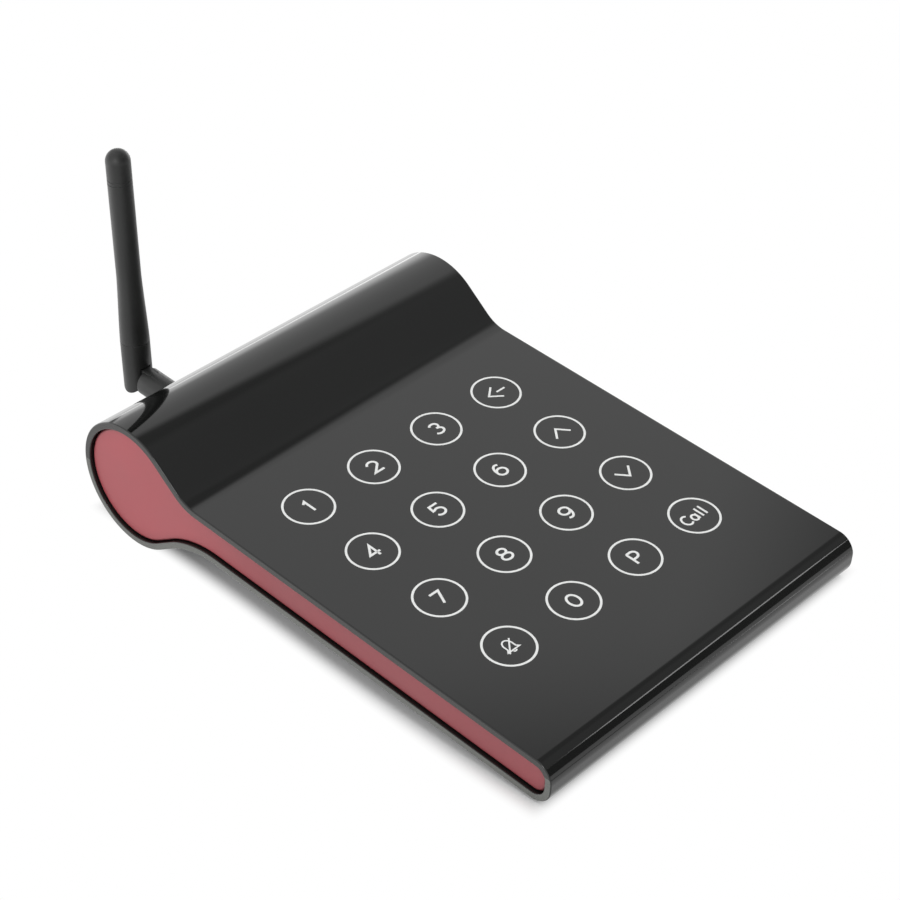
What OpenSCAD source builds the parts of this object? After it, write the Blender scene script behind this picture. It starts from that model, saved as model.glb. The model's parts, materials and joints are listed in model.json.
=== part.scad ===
// Guest pager keypad: a wedge-shaped counter transmitter with a roll along its rear edge.
// Millimetres. The drawing frame of the case has x across, y to the rear and z up from the
// keypad face, with y = 0 at the middle of the keys. stand() tips that frame onto its feet.

/* [Case] */
// Width of the case
case_w = 129; // [124:1:150]
// Middle of the keys to the front edge
front_reach = 77.6; // [74:0.1:90]
// Middle of the keys to the axis of the roll
roll_y = 87.4; // [84:0.1:100]
// Diameter of the roll
roll_d = 41.4; // [39:0.1:46]
// Depth of the roll's axis below the keypad face
roll_drop = 8; // [7:0.1:9]
// Thickness of the slab under the keys
slab_t = 14.4; // [13.5:0.1:17]
// Slope between the keypad face and the roll, in degrees
slope_a = 36; // [33:1:40]
// Radius where the slope meets the keypad face
slope_r = 12.8; // [8:0.1:16]
// Radius where the roll meets the underside
belly_r = 32; // [20:1:36]
// Radius along the top of the front edge
nose_top_r = 5.7; // [5:0.1:6.5]
// Radius along the bottom of the front edge
nose_low_r = 6.5; // [4:0.1:7.5]
// Wall of both shells
wall = 3; // [2.4:0.1:3.4]
// Depth of the parting line below the keypad face at the front
part_front = 3.7; // [3.5:0.1:6]
// Depth of the parting line below the keypad face at the rear
part_rear = 9; // [8:0.1:10.5]
// Height of the lip along the parting line
lip_h = 1.2; // [0.8:0.1:1.6]
// Clearance between shells, panels and feet
fit_gap = 0.15; // [0.1:0.05:0.3]

/* [End panels] */
// How far the panels sit inside the rim
panel_recess = 1.1; // [0.5:0.1:2]
// Thickness of a panel
panel_t = 2; // [1.5:0.1:3]
// Height of the ledge behind a panel
ledge_h = 1.5; // [1:0.1:1.8]
// Thickness of the ledge behind a panel
ledge_t = 2; // [1.5:0.1:3]
// Wall of a panel's locating rim
panel_rim_t = 0.9; // [0.7:0.1:1.1]
// Length of a panel's locating rim
panel_rim_l = 3; // [2.5:0.1:5]

/* [Keys] */
// Distance between neighbouring keys
key_pitch = 26; // [24:0.5:27]
// Keys in a row and in a column
key_count = 4; // [3:1:4]
// Diameter of a sensing disc
disc_d = 12; // [8:0.5:14]
// Thickness of a sensing disc
disc_t = 0.1; // [0.05:0.05:0.3]
// Thickness of the bonding film
film_t = 0.4; // [0.3:0.1:0.8]
// Board beyond the outer discs
touch_margin = 5; // [3:0.5:6]

/* [Boards] */
// Thickness of the boards
board_t = 1.6; // [1:0.1:2]
// Length of the main board across the case
main_l = 100; // [94:1:104]
// Front edge of the main board, ahead of the roll's axis
main_front = 14.5; // [12:0.5:16]
// Side of the touch controller chip
touch_chip = 7; // [5:0.5:10]
// Side of the microcontroller
mcu_side = 10; // [7:0.5:12]
// Height of the flat chips
chip_h = 1.4; // [0.9:0.1:1.8]
// Length of the radio module's can
radio_l = 20; // [14:0.5:22]
// Width of the radio module's can
radio_w = 13; // [10:0.5:14]
// Height of the radio module's can
radio_h = 3; // [2:0.1:4]
// Diameter of the capacitors
cap_d = 6.3; // [5:0.1:8]
// Height of the capacitors
cap_h = 7; // [5:0.5:9]
// Diameter of the buzzer
buzzer_d = 12; // [9:0.5:13]
// Height of the buzzer
buzzer_h = 6.5; // [4:0.5:8]
// Length of the crystal's can
crystal_l = 10.2; // [8:0.1:11]
// Width of the crystal's can
crystal_w = 3.8; // [3:0.1:5]
// Height of the crystal's can
crystal_h = 3.4; // [2.5:0.1:4]
// Width of the flat cable
ribbon_w = 12; // [8:0.5:14]
// Thickness of the flat cable
ribbon_t = 0.3; // [0.2:0.05:0.5]
// Depth of a cable socket, front to rear
socket_d = 4; // [3:0.5:5]
// Height of a cable socket
socket_h = 2; // [1.6:0.1:2.6]

/* [Display] */
// Width of the digit block
display_w = 30; // [24:0.5:36]
// Height of the digit block along the slope
display_h = 8; // [6.5:0.1:8.4]
// Thickness of the digit block
display_t = 4; // [3:0.1:4.5]
// Length of the digit block's carrier board
carrier_l = 46; // [42:1:50]
// Gap in front of the digit block
display_gap = 0.3; // [0.2:0.05:0.5]

/* [DC inlet] */
// Offset of the inlet from the middle of the case
inlet_x = 30; // [25:0.5:36]
// Width of the inlet's body
inlet_w = 9; // [8:0.1:10]
// Height of the inlet's body
inlet_h = 11; // [10.5:0.1:11.5]
// Length of the inlet's body
inlet_l = 13; // [12:0.5:14]
// Diameter of the socket
inlet_bore_d = 6.4; // [5.5:0.1:7]
// Diameter of the contact pin in the socket
inlet_pin_d = 2; // [1.3:0.1:2.5]
// Depth of the socket
inlet_depth = 9.5; // [9:0.5:10.5]
// Diameter of the opening in the shell
inlet_way_d = 10.4; // [9.5:0.1:11]
// Wall of the tunnel behind that opening
tunnel_wall = 1.1; // [0.8:0.1:1.4]

/* [Antenna] */
// Offset of the antenna from the middle of the case
antenna_x = -28; // [-32:0.5:-26]
// Roll's rear face to the hinge pin
hinge_out = 19.2; // [18.5:0.1:22]
// Hinge pin to the tip
blade_l = 79; // [70:1:110]
// How far the blade leans back from square to its base, in degrees
blade_back = 3.4; // [0:0.1:30]
// Diameter of the antenna's base
base_d = 9; // [8.9:0.1:11]
// Diameter of the blade's fork
fork_d = 9.1; // [8.6:0.1:11]
// Diameter of the upper blade
blade_d = 7.5; // [6.5:0.1:8.5]
// Hinge pin to the seam above the fork
fork_l = 13; // [11:0.5:16]
// Hinge pin to the end of the taper
taper_end = 36; // [30:1:42]
// Length of the tip cap, with its round end
cap_l = 9.3; // [8:0.1:14]
// Width of the base's tongue
tongue_w = 3.4; // [2.8:0.1:3.8]
// Radius of the tongue's round end
tongue_r = 4.4; // [4:0.1:4.5]
// Diameter of the hinge pin
pin_d = 3; // [2:0.1:3.4]
// Depth of the pin in each ear
pin_depth = 1.8; // [1.2:0.1:1.8]
// Running clearance of the turning fits
run_gap = 0.06; // [0.03:0.01:0.1]
// Side clearance of the turning fits
side_gap = 0.2; // [0.15:0.05:0.3]
// Shoulder clearance round the ears
ear_gap = 0.3; // [0.25:0.05:0.5]
// Outer diameter of the jack's thread
thread_d = 6.2; // [6:0.05:6.4]
// Jack's thread beyond the roll's rear face
thread_out = 7.4; // [6.5:0.1:8]
// Width across the flats of the jack's nut and flange
nut_af = 8; // [7.6:0.1:8.2]
// Thickness of the jack's nut
nut_t = 1.8; // [1.5:0.1:2]
// Thickness of the washer
washer_t = 0.5; // [0.4:0.1:0.7]
// Diameter of the washer
washer_d = 9.4; // [9:0.1:10]
// Diameter of the flat round the jack
spot_d = 12; // [11.5:0.1:14]
// Depth of the flat round the jack
spot_depth = 1.2; // [1:0.1:1.5]
// Wall between the flat and the jack's flange
jack_wall = 2.4; // [2:0.1:2.8]
// Diameter of the antenna's screw-on nut
screw_nut_d = 7.6; // [7.4:0.05:7.7]
// Diameter of the whip inside the blade
whip_d = 1.8; // [1.2:0.1:2.2]

/* [Feet and screws] */
// Length of a foot
foot_l = 25; // [15:1:30]
// Width of a foot
foot_w = 6.4; // [5:0.2:8]
// Height of the feet below the case
foot_h = 0.8; // [0.5:0.1:1.5]
// Depth of the pockets that hold the feet
foot_sink = 1.1; // [0.8:0.1:1.3]
// Outer end of a foot from the side of the case
foot_inset = 4.5; // [4:0.5:8]
// Front edge of the case to the middle of the front feet
foot_back = 6.7; // [6:0.1:10]
// Radius of a case screw's shank
case_screw_r = 1.4; // [1.2:0.1:1.6]
// Radius of a case screw's head
case_head_r = 2.6; // [2.4:0.1:2.8]
// Height of a case screw's head
case_head_h = 1.8; // [1.4:0.1:2.2]
// Side of the case to the case screws
screw_inset = 11.5; // [11:0.5:13]
// Front edge of the case to the front case screws
screw_front = 14; // [13.6:0.1:16]
// Roll's axis to the rear case screws
screw_rear = 31.5; // [30.5:0.5:33]
// Depth below the keypad face where the two bosses meet
boss_meet = 7.5; // [6:0.1:8]
// Radius of a board screw's shank
board_screw_r = 1.2; // [1:0.1:1.3]
// Radius of a board screw's head
board_head_r = 2.2; // [2:0.1:2.4]
// Height of a board screw's head
board_head_h = 1.4; // [1:0.1:1.8]
// Grip of a board screw in its post
board_grip = 6; // [4:0.5:8]

/* [Hidden] */
$fn = 64;

// Slack that lets a cutting tool pass the face that it cuts
cut = 1;
// Overlap that makes a tangent arc and line cross cleanly
bite = 0.005;
roll_r = roll_d / 2;
nose_y = -front_reach;
roll_c = [roll_y, -roll_drop];
rear_y = roll_y + roll_r;
in_slope = [sin(slope_a), -cos(slope_a)];
in_belly = [sin(slope_a), cos(slope_a)];

// Tangent points of the slopes on the roll, inset by d; side is 1 above and -1 below
function roll_touch(d, side) = roll_c + (roll_r - d) * [-sin(slope_a), side * cos(slope_a)];
slope_foot_y = roll_touch(0, 1)[0] - roll_touch(0, 1)[1] / tan(slope_a);
belly_foot_y = roll_touch(0, -1)[0] + (roll_touch(0, -1)[1] + slab_t) / tan(slope_a);
slope_c = [slope_foot_y - slope_r * tan(slope_a / 2), slope_r];
belly_c = [belly_foot_y - belly_r * tan(slope_a / 2), -slab_t - belly_r];

// Depth of the parting line at y
function part_z(y) = -part_front - (part_rear - part_front) * (y - nose_y) / (rear_y - nose_y);

// Stand on the feet: the feet reach equally far below the roll and below the slab
foot_y = nose_y + foot_back;
reach_y = foot_y - roll_y;
reach_z = roll_drop - slab_t;
stand_a = atan2(reach_y, reach_z) + acos(-roll_r / norm([reach_y, reach_z]));
stand_lift = roll_r + foot_h - (roll_y * sin(stand_a) - roll_drop * cos(stand_a));
hinge_y = rear_y + hinge_out;
fork_r = fork_d / 2;
function tipped(y, z) = [y * cos(stand_a) - z * sin(stand_a), y * sin(stand_a) + z * cos(stand_a)];
front_most = tipped(nose_y + nose_top_r, -nose_top_r)[0] - nose_top_r;
rear_most = tipped(hinge_y, -roll_drop)[0] + fork_r;
stand_shift = -(front_most + rear_most) / 2;
function stood(y, z) = tipped(y, z) + [stand_shift, stand_lift];
hinge_at = stood(hinge_y, -roll_drop);

// Boards, from the keypad face down
key_span = (key_count - 1) * key_pitch;
touch_side = key_span + disc_d + 2 * touch_margin;
film_z = -wall - film_t;
touch_z = film_z - board_t;
main_top = -roll_drop + board_t / 2;
main_low = -roll_drop - board_t / 2;
pad_y = rear_y - spot_depth - jack_wall;
flange_t = 1.5;
main_rear_y = pad_y - flange_t;
main_front_y = roll_y - main_front;
post_r = 3;
post_x = main_l / 2 - 5;
post_front_y = roll_y - 9;
post_rear_y = roll_y + 9;
screw_x = case_w / 2 - screw_inset;
screw_ys = [nose_y + screw_front, roll_y - screw_rear];
boss_r = case_head_r + 1;
boss_roof = 2;
head_seat = 2.6;
inlet_z = main_top + inlet_h / 2;
inlet_top = inlet_z + inlet_h / 2;
inlet_face_y = roll_y + sqrt(pow(roll_r - wall, 2) - pow(inlet_top + roll_drop, 2)) - 0.6;
notch_w = inlet_way_d + 2 * tunnel_wall + 1;

// Antenna, out along the jack's axis from the roll's rear face
skirt_gap = 0.4;
nut_start = nut_t + washer_t - spot_depth;
screw_nut_l = thread_out - nut_start - skirt_gap + 1;
screw_nut_start = nut_start + skirt_gap;
ear_r = fork_r;
shoulder = hinge_out - ear_r - ear_gap;
contact_r = 0.45;
dielectric_depth = 5;
slot_w = tongue_w + 2 * side_gap;
slot_top = tongue_r + ear_gap;
spigot_r = 2.4;
spigot_l = 7;
sleeve_bore_r = spigot_r + 0.05;
blade_r = blade_d / 2;
seam = 0.25;
cap_start = blade_l - cap_l;
cap_plug_r = 2;
cap_plug_l = 4;

// ---- helpers ----

// A node's module works in the case's frame; this tips it onto the feet
module stand() {
    translate([0, stand_shift, stand_lift])
        rotate([stand_a, 0, 0])
            children();
}

// Extrudes a side view, with y across the page and z up, along x about x = mid
module along_x(length, mid = 0) {
    translate([mid - length / 2, 0, 0])
        rotate([90, 0, 90])
            linear_extrude(length)
                children();
}

module along_y(y) {
    translate([0, y, 0])
        rotate([-90, 0, 0])
            children();
}

// Puts copies at x and at -x
module both_sides(x) {
    for (side = [-1, 1])
        translate([side * x, 0, 0])
            children();
}

// A corner of the front edge, inset by d
function nose_r(r, d) = max(r - d, 0.4);

// Side view of the case, inset by d
module profile(d) {
    top_r = nose_r(nose_top_r, d);
    low_r = nose_r(nose_low_r, d);
    translate(roll_c)
        circle(roll_r - d);
    difference() {
        polygon([
            [slope_c[0], -d],
            slope_c + (slope_r + d) * in_slope,
            roll_touch(d + bite, 1),
            roll_c,
            roll_touch(d + bite, -1),
            belly_c + (belly_r + d) * in_belly,
            [belly_c[0], d - slab_t],
            [nose_y + d + low_r, d - slab_t],
            [nose_y + d, d + low_r - slab_t],
            [nose_y + d, -d - top_r],
            [nose_y + d + top_r, -d]]);
        translate(slope_c)
            circle(slope_r + d + bite);
        translate(belly_c)
            circle(belly_r + d + bite);
    }
    translate([nose_y + d + top_r, -d - top_r])
        circle(top_r + bite);
    translate([nose_y + d + low_r, d + low_r - slab_t])
        circle(low_r + bite);
}

// Side view of a wall between two insets
module ring(outer, inner) {
    difference() {
        profile(outer);
        profile(inner);
    }
}

// Side view of all that lies above the parting line, raised by lift
module above_parting(lift = 0) {
    y0 = nose_y - cut;
    y1 = rear_y + cut;
    polygon([[y0, part_z(y0) + lift], [y1, part_z(y1) + lift], [y1, roll_r], [y0, roll_r]]);
}

module below_parting(lift = 0) {
    y0 = nose_y - cut;
    y1 = rear_y + cut;
    low = -roll_drop - roll_r - cut;
    polygon([[y0, part_z(y0) + lift], [y1, part_z(y1) + lift], [y1, low], [y0, low]]);
}

// Side view of the strip just above the parting line, for the lip and its rebate
module lip_band(outer, height) {
    intersection() {
        ring(outer, wall + fit_gap);
        above_parting();
        below_parting(height);
    }
}

// The walls that both shells share, whole
module case_walls() {
    ledge_mid = case_w / 2 - panel_recess - panel_t - ledge_t / 2;
    difference() {
        union() {
            along_x(case_w)
                ring(0, wall);
            both_sides(ledge_mid)
                along_x(ledge_t)
                    ring(wall / 2, wall + ledge_h);
            intersection() {
                union() {
                    jack_pad();
                    inlet_tunnel();
                }
                along_x(case_w)
                    profile(wall / 2);
            }
        }
        jack_hole();
        inlet_way();
    }
}

// Flat seat inside the rear wall for the jack's flange
module jack_pad() {
    translate([antenna_x, 0, -roll_drop])
        along_y(pad_y)
            cylinder(h = wall + spot_depth, r = spot_d / 2);
}

module jack_hole() {
    translate([antenna_x, 0, -roll_drop]) {
        along_y(pad_y - cut)
            cylinder(h = wall + spot_depth + 2 * cut, r = thread_d / 2 + fit_gap);
        along_y(rear_y - spot_depth)
            cylinder(h = spot_depth + cut, r = spot_d / 2);
    }
}

module inlet_tunnel() {
    translate([inlet_x, 0, inlet_z])
        along_y(inlet_face_y + fit_gap)
            cylinder(h = roll_r, r = inlet_way_d / 2 + tunnel_wall);
}

module inlet_way() {
    translate([inlet_x, 0, inlet_z])
        along_y(inlet_face_y)
            cylinder(h = roll_r, r = inlet_way_d / 2);
}

// Places children at each case screw, pointing up from the keypad face's height
module at_case_screws() {
    both_sides(screw_x)
        for (y = screw_ys)
            translate([0, y, 0])
                children();
}

module at_board_screws() {
    both_sides(post_x)
        for (y = [post_front_y, post_rear_y])
            translate([0, y, 0])
                children();
}

// Frame of the slope's inner face: x across, y up the slope, z out of the face
module on_slope() {
    middle = (slope_c + slope_r * in_slope + roll_touch(0, 1)) / 2 + wall * in_slope;
    translate([0, middle[0], middle[1]])
        rotate([slope_a, 0, 0])
            children();
}

// A bar with round ends, as wide as given, about x = 0
module bar(length, width, height) {
    linear_extrude(height) {
        square([length - width, width], center = true);
        for (side = [-1, 1])
            translate([side * (length - width) / 2, 0])
                circle(width / 2);
    }
}

foot_x = case_w / 2 - foot_inset - foot_l / 2;
front_foot_at = stood(foot_y, -slab_t)[0];
rear_foot_at = stood(roll_y, -roll_drop)[0];

module foot_pockets() {
    for (y = [front_foot_at, rear_foot_at])
        both_sides(foot_x)
            translate([0, y, 0])
                bar(foot_l + 2 * fit_gap, foot_w + 2 * fit_gap, foot_h + foot_sink);
}

module foot(side, y) {
    color([0.07, 0.07, 0.07])
        translate([side * foot_x, y, 0])
            bar(foot_l, foot_w, foot_h + foot_sink);
}

// ---- shells ----

module upper_shell() {
    color([0.09, 0.09, 0.09])
        stand() {
            difference() {
                intersection() {
                    case_walls();
                    along_x(case_w + cut)
                        above_parting();
                }
                difference() {
                    along_x(case_w - 2 * panel_recess - 2 * panel_t)
                        lip_band(wall / 2 - fit_gap / 2, lip_h + fit_gap);
                    jack_side(spot_d);
                }
            }
            upper_bosses();
            display_posts();
        }
}

module upper_bosses() {
    at_case_screws()
        difference() {
            translate([0, 0, -boss_meet])
                cylinder(h = boss_meet - wall / 2, r = boss_r - 0.4);
            translate([0, 0, -boss_meet - cut])
                cylinder(h = boss_meet + cut - wall - 0.4, r = case_screw_r + 0.05);
        }
}

// Two posts that hang from the slope and carry the display's board
module display_posts() {
    length = display_t + display_gap;
    on_slope()
        both_sides(carrier_l / 2 - post_r)
            difference() {
                translate([0, 0, -length])
                    cylinder(h = length + wall / 2, r = post_r - 0.2);
                translate([0, 0, -length - cut])
                    cylinder(h = length + cut, r = board_screw_r + 0.05);
            }
}

module lower_shell() {
    color([0.10, 0.10, 0.10])
        difference() {
            stand()
                union() {
                    intersection() {
                        case_walls();
                        along_x(case_w + cut)
                            below_parting();
                    }
                    lower_lip();
                    intersection() {
                        union() {
                            lower_bosses();
                            board_posts();
                            floor_ribs();
                        }
                        along_x(case_w)
                            profile(wall / 2);
                    }
                }
            stand()
                screw_holes();
            foot_pockets();
        }
}

// The inner half of the wall stands up into the upper shell, clear of the jack
module lower_lip() {
    length = case_w - 2 * panel_recess - 2 * panel_t - 2 * fit_gap;
    difference() {
        along_x(length)
            intersection() {
                ring(wall / 2 + fit_gap / 2, wall);
                above_parting(-wall / 2);
                below_parting(lip_h);
            }
        jack_side(spot_d + 2 * fit_gap);
    }
}

// Part of the rear wall round the jack, where the parting line has no lip
module jack_side(side) {
    translate([antenna_x - side / 2, roll_y, -roll_drop - side / 2])
        cube([side, roll_r, side]);
}

module lower_bosses() {
    at_case_screws()
        translate([0, 0, -slab_t - roll_r])
            cylinder(h = slab_t + roll_r - boss_meet - fit_gap, r = boss_r);
}

module board_posts() {
    at_board_screws()
        translate([0, 0, -roll_drop - roll_r])
            cylinder(h = roll_drop + roll_r + main_low, r = post_r);
}

rib_t = 1.2;
rib_h = 2.2;

module floor_ribs() {
    for (row = [-1, 0, 1])
        translate([-touch_side / 2, row * key_pitch - rib_t / 2, wall / 2 - slab_t])
            cube([touch_side, rib_t, wall / 2 + rib_h]);
}

module screw_holes() {
    at_case_screws() {
        translate([0, 0, -slab_t - roll_r])
            cylinder(h = roll_r + head_seat, r = case_head_r + 0.2);
        translate([0, 0, -slab_t])
            cylinder(h = slab_t, r = case_screw_r + 0.3);
    }
    at_board_screws()
        translate([0, 0, main_low - board_grip - 2])
            cylinder(h = board_grip + 2 + cut, r = board_screw_r + 0.05);
}

module end_panel(side) {
    inner = wall + ledge_h + fit_gap;
    plate_mid = case_w / 2 - panel_recess - panel_t / 2;
    rim_mid = case_w / 2 - panel_recess - panel_t - panel_rim_l / 2;
    color([0.55, 0.16, 0.20])
        stand() {
            along_x(panel_t, side * plate_mid)
                profile(wall + fit_gap);
            along_x(panel_rim_l + cut, side * (rim_mid + cut / 2))
                ring(inner, inner + panel_rim_t);
        }
}

module left_end_panel() {
    end_panel(-1);
}

module right_end_panel() {
    end_panel(1);
}

// ---- touch side ----

module at_keys() {
    for (column = [0 : key_count - 1], row = [0 : key_count - 1])
        translate([column * key_pitch - key_span / 2, row * key_pitch - key_span / 2, 0])
            children();
}

module touch_sheet(thickness) {
    linear_extrude(thickness)
        square(touch_side, center = true);
}

module bonding_film() {
    color([0.85, 0.85, 0.80])
        stand()
            translate([0, 0, film_z])
                difference() {
                    touch_sheet(film_t);
                    translate([0, 0, -cut])
                        at_keys()
                            cylinder(h = film_t + 2 * cut, r = disc_d / 2 + 0.3);
                }
}

module sensing_discs() {
    color([0.80, 0.50, 0.25])
        stand()
            translate([0, 0, film_z])
                at_keys()
                    cylinder(h = disc_t, r = disc_d / 2);
}

module touch_board() {
    color([0.10, 0.35, 0.20])
        stand()
            translate([0, 0, touch_z])
                touch_sheet(board_t);
}

module touch_controller() {
    color([0.12, 0.12, 0.13])
        stand()
            translate([key_pitch / 2 - touch_chip / 2, key_pitch / 2 - touch_chip / 2, touch_z - chip_h])
                cube([touch_chip, touch_chip, chip_h]);
}

touch_socket_rear = touch_side / 2 - 1;
main_socket_front = main_front_y + 1;
ribbon_high_z = touch_z - socket_h / 2;
ribbon_low_z = main_top + socket_h / 2;

module cable_socket(y, z) {
    color([0.90, 0.88, 0.80])
        stand()
            translate([-ribbon_w / 2 - 1, y, z])
                cube([ribbon_w + 2, socket_d, socket_h]);
}

module touch_socket() {
    cable_socket(touch_socket_rear - socket_d, touch_z - socket_h);
}

module main_socket() {
    cable_socket(main_socket_front, main_top);
}

// Side view of the flat cable: it dips between its two sockets
module flat_cable() {
    dip = min(ribbon_high_z, ribbon_low_z) - 2;
    span = main_socket_front - touch_socket_rear;
    line = [
        [touch_socket_rear, ribbon_high_z],
        [touch_socket_rear + span * 0.15, ribbon_high_z],
        [touch_socket_rear + span * 0.4, dip],
        [touch_socket_rear + span * 0.6, dip],
        [touch_socket_rear + span * 0.85, ribbon_low_z],
        [main_socket_front, ribbon_low_z]];
    color([0.92, 0.92, 0.90])
        stand()
            along_x(ribbon_w)
                polygon(concat(
                    [for (p = line) p + [0, ribbon_t / 2]],
                    [for (k = [len(line) - 1 : -1 : 0]) line[k] - [0, ribbon_t / 2]]));
}

// ---- main board ----

// A block standing on the main board, its middle at x and at y from the roll's axis
module on_board(x, y) {
    stand()
        translate([x, roll_y + y, main_top])
            children();
}

module block(x, y, z) {
    translate([-x / 2, -y / 2, 0])
        cube([x, y, z]);
}

module main_board() {
    color([0.10, 0.35, 0.20])
        stand()
            difference() {
                translate([-main_l / 2, main_front_y, main_low])
                    cube([main_l, main_rear_y - main_front_y, board_t]);
                translate([inlet_x - notch_w / 2, inlet_face_y, main_low - cut])
                    cube([notch_w, roll_r, board_t + 2 * cut]);
                at_board_screws()
                    translate([0, 0, main_low - cut])
                        cylinder(h = board_t + 2 * cut, r = board_screw_r + 0.2);
            }
}

module microcontroller() {
    color([0.12, 0.12, 0.13])
        on_board(-2, 5)
            block(mcu_side, mcu_side, chip_h);
}

module radio_module() {
    color([0.75, 0.75, 0.77])
        on_board(antenna_x + 5, -2.5)
            block(radio_l, radio_w, radio_h);
}

module crystal() {
    color([0.80, 0.80, 0.82])
        on_board(10, 5)
            rotate([0, 0, 90]) {
                linear_extrude(crystal_h) {
                    square([crystal_l - crystal_w, crystal_w], center = true);
                    for (side = [-1, 1])
                        translate([side * (crystal_l - crystal_w) / 2, 0])
                            circle(crystal_w / 2);
                }
            }
}

module capacitors() {
    color([0.15, 0.20, 0.35])
        for (y = [-2.5, 6.5])
            on_board(inlet_x - 14, y)
                cylinder(h = cap_h, r = cap_d / 2);
}

// The buzzer hangs under the board, its sound hole downwards
module buzzer() {
    color([0.08, 0.08, 0.08])
        stand()
            translate([0, roll_y, main_low - buzzer_h])
                difference() {
                    cylinder(h = buzzer_h, r = buzzer_d / 2);
                    translate([0, 0, -cut])
                        cylinder(h = buzzer_h, r = 1);
                }
}

module dc_inlet() {
    color([0.06, 0.06, 0.06])
        stand()
            difference() {
                translate([inlet_x - inlet_w / 2, inlet_face_y - inlet_l, main_top])
                    cube([inlet_w, inlet_l, inlet_h]);
                translate([inlet_x, 0, inlet_z])
                    along_y(inlet_face_y - inlet_depth)
                        cylinder(h = inlet_depth + cut, r = inlet_bore_d / 2);
            }
}

module dc_contact() {
    color([0.85, 0.85, 0.85])
        stand()
            translate([inlet_x, 0, inlet_z])
                along_y(inlet_face_y - inlet_depth)
                    cylinder(h = inlet_depth - 1, r = inlet_pin_d / 2);
}

module board_screws() {
    color([0.70, 0.70, 0.72])
        stand()
            at_board_screws() {
                translate([0, 0, main_top])
                    cylinder(h = board_head_h, r = board_head_r);
                translate([0, 0, main_low - board_grip])
                    cylinder(h = board_grip + board_t + board_head_h / 2, r = board_screw_r);
            }
}

module case_screws() {
    color([0.20, 0.20, 0.21])
        stand()
            at_case_screws()
                translate([0, 0, head_seat - slab_t]) {
                    translate([0, 0, -case_head_h])
                        cylinder(h = case_head_h, r = case_head_r);
                    translate([0, 0, -case_head_h / 2])
                        cylinder(h = slab_t - head_seat + case_head_h / 2 - wall - 1, r = case_screw_r);
                }
}

// ---- display ----

module digit_display() {
    color([0.85, 0.86, 0.84])
        stand()
            on_slope()
                translate([0, 0, -display_gap - display_t])
                    block(display_w, display_h, display_t);
}

module display_carrier() {
    color([0.10, 0.35, 0.20])
        stand()
            on_slope()
                translate([0, 0, -display_gap - display_t - board_t])
                    difference() {
                        block(carrier_l, display_h, board_t);
                        both_sides(carrier_l / 2 - post_r)
                            translate([0, 0, -cut])
                                cylinder(h = board_t + 2 * cut, r = board_screw_r + 0.2);
                    }
}

module display_screws() {
    color([0.70, 0.70, 0.72])
        stand()
            on_slope()
                both_sides(carrier_l / 2 - post_r)
                    translate([0, 0, -display_gap - display_t - board_t]) {
                        translate([0, 0, -board_head_h])
                            cylinder(h = board_head_h, r = board_head_r);
                        translate([0, 0, -board_head_h / 2])
                            cylinder(h = board_t + display_t, r = board_screw_r);
                    }
}

// ---- feet ----

module front_left_foot() {
    foot(-1, front_foot_at);
}

module front_right_foot() {
    foot(1, front_foot_at);
}

module rear_left_foot() {
    foot(-1, rear_foot_at);
}

module rear_right_foot() {
    foot(1, rear_foot_at);
}

// ---- antenna ----

// Frame of the jack: its axis runs up z, from the roll's rear face
module on_jack() {
    stand()
        translate([antenna_x, rear_y, -roll_drop])
            rotate([-90, 0, 0])
                children();
}

module hexagon(height) {
    cylinder(h = height, r = nut_af / sqrt(3), $fn = 6);
}

module antenna_jack() {
    leg_l = 6;
    leg_t = 1;
    body = 6;
    start = -spot_depth - jack_wall;
    color([0.83, 0.68, 0.30])
        on_jack()
            difference() {
                union() {
                    translate([0, 0, start - flange_t])
                        hexagon(flange_t);
                    translate([0, 0, start - flange_t / 2])
                        cylinder(h = thread_out - start + flange_t / 2, r = thread_d / 2);
                    for (side = [-1, 1])
                        translate([-body / 2, side * (board_t + leg_t) / 2 - leg_t / 2, start - flange_t - leg_l])
                            cube([body, leg_t, leg_l + flange_t / 2]);
                }
                translate([0, 0, thread_out - dielectric_depth])
                    cylinder(h = dielectric_depth + cut, r = contact_r + 0.1);
            }
}

module jack_washer() {
    color([0.80, 0.80, 0.78])
        on_jack()
            translate([0, 0, -spot_depth])
                difference() {
                    cylinder(h = washer_t, r = washer_d / 2);
                    translate([0, 0, -cut])
                        cylinder(h = washer_t + 2 * cut, r = thread_d / 2 + 0.1);
                }
}

module jack_nut() {
    color([0.83, 0.68, 0.30])
        on_jack()
            translate([0, 0, washer_t - spot_depth])
                difference() {
                    hexagon(nut_t);
                    translate([0, 0, -cut])
                        cylinder(h = nut_t + 2 * cut, r = thread_d / 2 + 0.05);
                }
}

module antenna_nut() {
    end = thread_out + 0.2;
    color([0.83, 0.68, 0.30])
        on_jack()
            difference() {
                translate([0, 0, screw_nut_start])
                    cylinder(h = screw_nut_l, r = screw_nut_d / 2);
                translate([0, 0, screw_nut_start - cut])
                    cylinder(h = end - screw_nut_start + cut, r = thread_d / 2 + 0.05);
                cylinder(h = thread_out + screw_nut_l, r = contact_r + 0.3);
            }
}

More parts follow.
